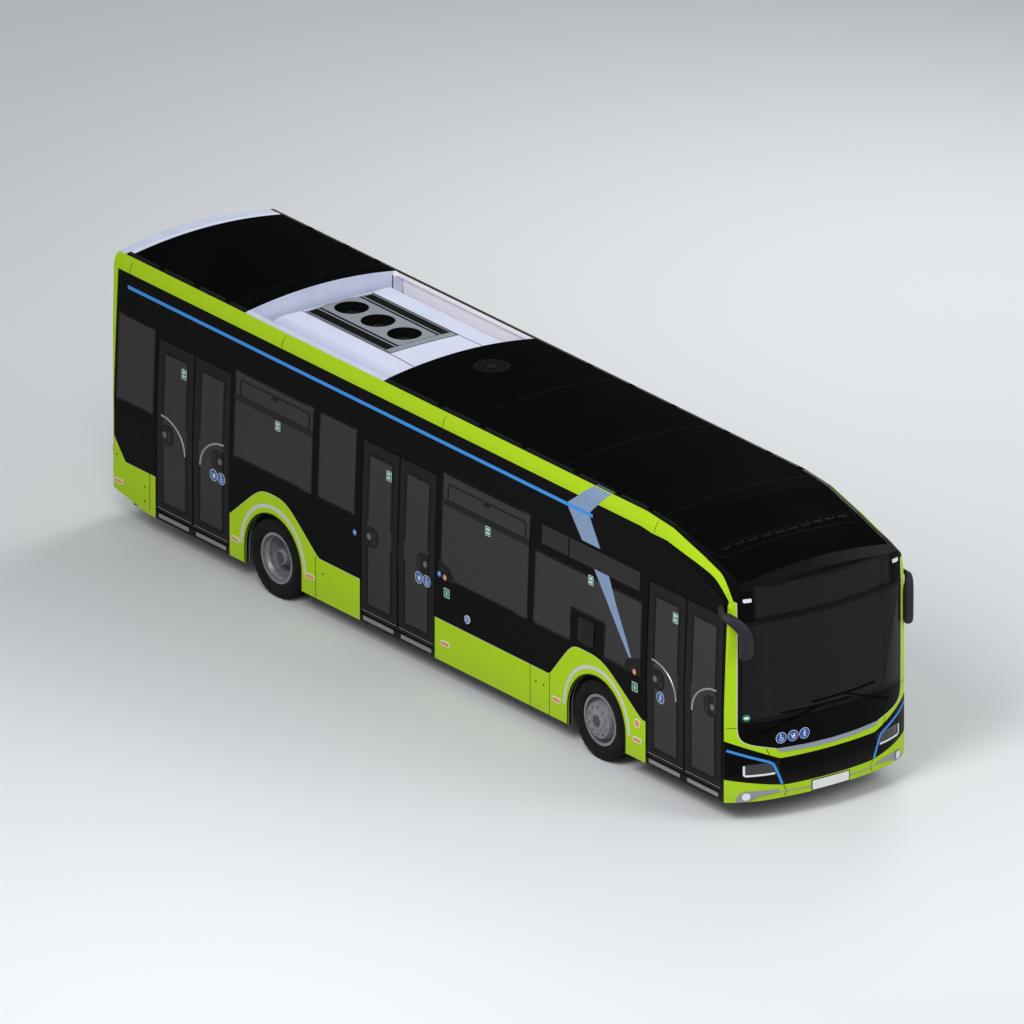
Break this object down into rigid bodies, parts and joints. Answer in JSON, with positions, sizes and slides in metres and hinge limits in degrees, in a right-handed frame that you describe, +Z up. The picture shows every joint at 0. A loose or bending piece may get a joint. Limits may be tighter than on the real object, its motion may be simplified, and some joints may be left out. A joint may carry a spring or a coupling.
{
  "type": "electric city bus",
  "caption": "Low-floor electric city bus with inward-swinging doors, steered front wheels, twin rear wheels, a charging flap and covered roof batteries.",
  "frame": {"origin": "on the ground under the middle of the overall box", "axes": "+X forward, +Y to the left (driver's side), +Z up"},
  "size_m": [12.2289, 2.7799, 3.356],
  "materials": {
    "body_paint": "gloss",
    "body_black": "gloss",
    "door_black": "gloss",
    "tinted_glass": "tinted",
    "lamp_plastic": "gloss",
    "roof_plastic": "satin",
    "white_plastic": "gloss",
    "battery_case": "matt",
    "inside_plastic": "matt",
    "dash_plastic": "matt",
    "mirror_plastic": "satin",
    "seat_fabric": "woven",
    "rail_paint": "gloss",
    "floor_vinyl": "matt",
    "chassis_steel": "matt",
    "cast_steel": "rough",
    "post_steel": "satin",
    "tyre_rubber": "matt",
    "wheel_steel": "silver"
  },
  "bodies": {
    "body": {"chassis_frame": "chassis_steel", "cabin_floor": "floor_vinyl", "wheel_boxes": "floor_vinyl", "right_side_wall": "body_paint", "left_side_wall": "body_paint", "roof_shell": "body_paint", "front_mask": "body_paint", "front_bumper": "body_paint", "rear_wall": "body_paint", "windscreen": "tinted_glass", "side_windows": "tinted_glass", "rear_window": "tinted_glass", "lamps": "lamp_plastic", "roof_covers": "roof_plastic", "battery_packs": "battery_case", "air_conditioner": "white_plastic", "door_drive_covers": "inside_plastic", "seats": "seat_fabric", "handrails": "rail_paint", "driver_partition": "inside_plastic", "dashboard": "dash_plastic", "driver_seat": "seat_fabric", "steering_wheel": "dash_plastic", "right_mirror": "mirror_plastic", "left_mirror": "mirror_plastic", "wipers": "mirror_plastic", "front_axle": "chassis_steel", "rear_axle": "chassis_steel"},
    "charging_flap": {"charging_flap": "body_black"},
    "left_knuckle": {"left_knuckle": "cast_steel"},
    "right_knuckle": {"right_knuckle": "cast_steel"},
    "front_left_wheel": {"front_left_tyre": "tyre_rubber", "front_left_rim": "wheel_steel"},
    "front_right_wheel": {"front_right_tyre": "tyre_rubber", "front_right_rim": "wheel_steel"},
    "rear_left_wheel": {"rear_left_tyre": "tyre_rubber", "rear_left_rim": "wheel_steel"},
    "rear_right_wheel": {"rear_right_tyre": "tyre_rubber", "rear_right_rim": "wheel_steel"},
    "rear_door_rear_post": {"rear_door_rear_post": "post_steel"},
    "rear_door_rear_leaf": {"rear_door_rear_leaf": "door_black", "rear_door_rear_glass": "tinted_glass"},
    "rear_door_front_post": {"rear_door_front_post": "post_steel"},
    "rear_door_front_leaf": {"rear_door_front_leaf": "door_black", "rear_door_front_glass": "tinted_glass"},
    "middle_door_rear_post": {"middle_door_rear_post": "post_steel"},
    "middle_door_rear_leaf": {"middle_door_rear_leaf": "door_black", "middle_door_rear_glass": "tinted_glass"},
    "middle_door_front_post": {"middle_door_front_post": "post_steel"},
    "middle_door_front_leaf": {"middle_door_front_leaf": "door_black", "middle_door_front_glass": "tinted_glass"},
    "front_door_rear_post": {"front_door_rear_post": "post_steel"},
    "front_door_rear_leaf": {"front_door_rear_leaf": "door_black", "front_door_rear_glass": "tinted_glass"},
    "front_door_front_post": {"front_door_front_post": "post_steel"},
    "front_door_front_leaf": {"front_door_front_leaf": "door_black", "front_door_front_glass": "tinted_glass"}
  },
  "joints": [
    {"name": "left_steering", "type": "hinge", "parent": "body", "child": "left_knuckle", "pos_m": [3.355, 0.99, 0.4785], "axis": [0, 0, 1], "range_deg": [-45, 45]},
    {"name": "right_steering", "type": "hinge", "parent": "body", "child": "right_knuckle", "pos_m": [3.355, -0.99, 0.4785], "axis": [0, 0, 1], "range_deg": [-45, 45]},
    {"name": "front_left_spin", "type": "hinge", "parent": "left_knuckle", "child": "front_left_wheel", "pos_m": [3.355, 1.12, 0.4785], "axis": [0, 1, 0], "continuous": true},
    {"name": "front_right_spin", "type": "hinge", "parent": "right_knuckle", "child": "front_right_wheel", "pos_m": [3.355, -1.12, 0.4785], "axis": [0, 1, 0], "continuous": true},
    {"name": "rear_left_spin", "type": "hinge", "parent": "body", "child": "rear_left_wheel", "pos_m": [-2.857, 0.9625, 0.4785], "axis": [0, 1, 0], "continuous": true},
    {"name": "rear_right_spin", "type": "hinge", "parent": "body", "child": "rear_right_wheel", "pos_m": [-2.857, -0.9625, 0.4785], "axis": [0, 1, 0], "continuous": true},
    {"name": "rear_door_rear_swing", "type": "hinge", "parent": "body", "child": "rear_door_rear_post", "pos_m": [-5.171, -1.135, 1.4], "axis": [0, 0, 1], "range_deg": [0, 87]},
    {"name": "rear_door_rear_turn", "type": "hinge", "parent": "rear_door_rear_post", "child": "rear_door_rear_leaf", "pos_m": [-4.784, -1.195, 1.4], "axis": [0, 0, 1], "range_deg": [-175, 1]},
    {"name": "rear_door_front_swing", "type": "hinge", "parent": "body", "child": "rear_door_front_post", "pos_m": [-3.683, -1.135, 1.4], "axis": [0, 0, -1], "range_deg": [0, 87]},
    {"name": "rear_door_front_turn", "type": "hinge", "parent": "rear_door_front_post", "child": "rear_door_front_leaf", "pos_m": [-4.07, -1.195, 1.4], "axis": [0, 0, -1], "range_deg": [-175, 1]},
    {"name": "middle_door_rear_swing", "type": "hinge", "parent": "body", "child": "middle_door_rear_post", "pos_m": [-1.203, -1.135, 1.4], "axis": [0, 0, 1], "range_deg": [0, 87]},
    {"name": "middle_door_rear_turn", "type": "hinge", "parent": "middle_door_rear_post", "child": "middle_door_rear_leaf", "pos_m": [-0.816, -1.195, 1.4], "axis": [0, 0, 1], "range_deg": [-175, 1]},
    {"name": "middle_door_front_swing", "type": "hinge", "parent": "body", "child": "middle_door_front_post", "pos_m": [0.285, -1.135, 1.4], "axis": [0, 0, -1], "range_deg": [0, 87]},
    {"name": "middle_door_front_turn", "type": "hinge", "parent": "middle_door_front_post", "child": "middle_door_front_leaf", "pos_m": [-0.102, -1.195, 1.4], "axis": [0, 0, -1], "range_deg": [-175, 1]},
    {"name": "front_door_rear_swing", "type": "hinge", "parent": "body", "child": "front_door_rear_post", "pos_m": [4.261, -1.135, 1.4], "axis": [0, 0, 1], "range_deg": [0, 87]},
    {"name": "front_door_rear_turn", "type": "hinge", "parent": "front_door_rear_post", "child": "front_door_rear_leaf", "pos_m": [4.648, -1.195, 1.4], "axis": [0, 0, 1], "range_deg": [-175, 1]},
    {"name": "front_door_front_swing", "type": "hinge", "parent": "body", "child": "front_door_front_post", "pos_m": [5.749, -1.135, 1.4], "axis": [0, 0, -1], "range_deg": [0, 87]},
    {"name": "front_door_front_turn", "type": "hinge", "parent": "front_door_front_post", "child": "front_door_front_leaf", "pos_m": [5.362, -1.195, 1.4], "axis": [0, 0, -1], "range_deg": [-175, 1]},
    {"name": "charging_flap_hinge", "type": "hinge", "parent": "body", "child": "charging_flap", "pos_m": [3.301, -1.277, 1.494], "axis": [0, 0, 1], "range_deg": [0, 110]}
  ],
  "couplings": [
    {"joint": "right_steering", "follows": "left_steering", "ratio": 1},
    {"joint": "rear_door_rear_turn", "follows": "rear_door_rear_swing", "ratio": -2},
    {"joint": "rear_door_front_turn", "follows": "rear_door_front_swing", "ratio": -2},
    {"joint": "middle_door_rear_turn", "follows": "middle_door_rear_swing", "ratio": -2},
    {"joint": "middle_door_front_turn", "follows": "middle_door_front_swing", "ratio": -2},
    {"joint": "front_door_rear_turn", "follows": "front_door_rear_swing", "ratio": -2},
    {"joint": "front_door_front_turn", "follows": "front_door_front_swing", "ratio": -2}
  ]
}
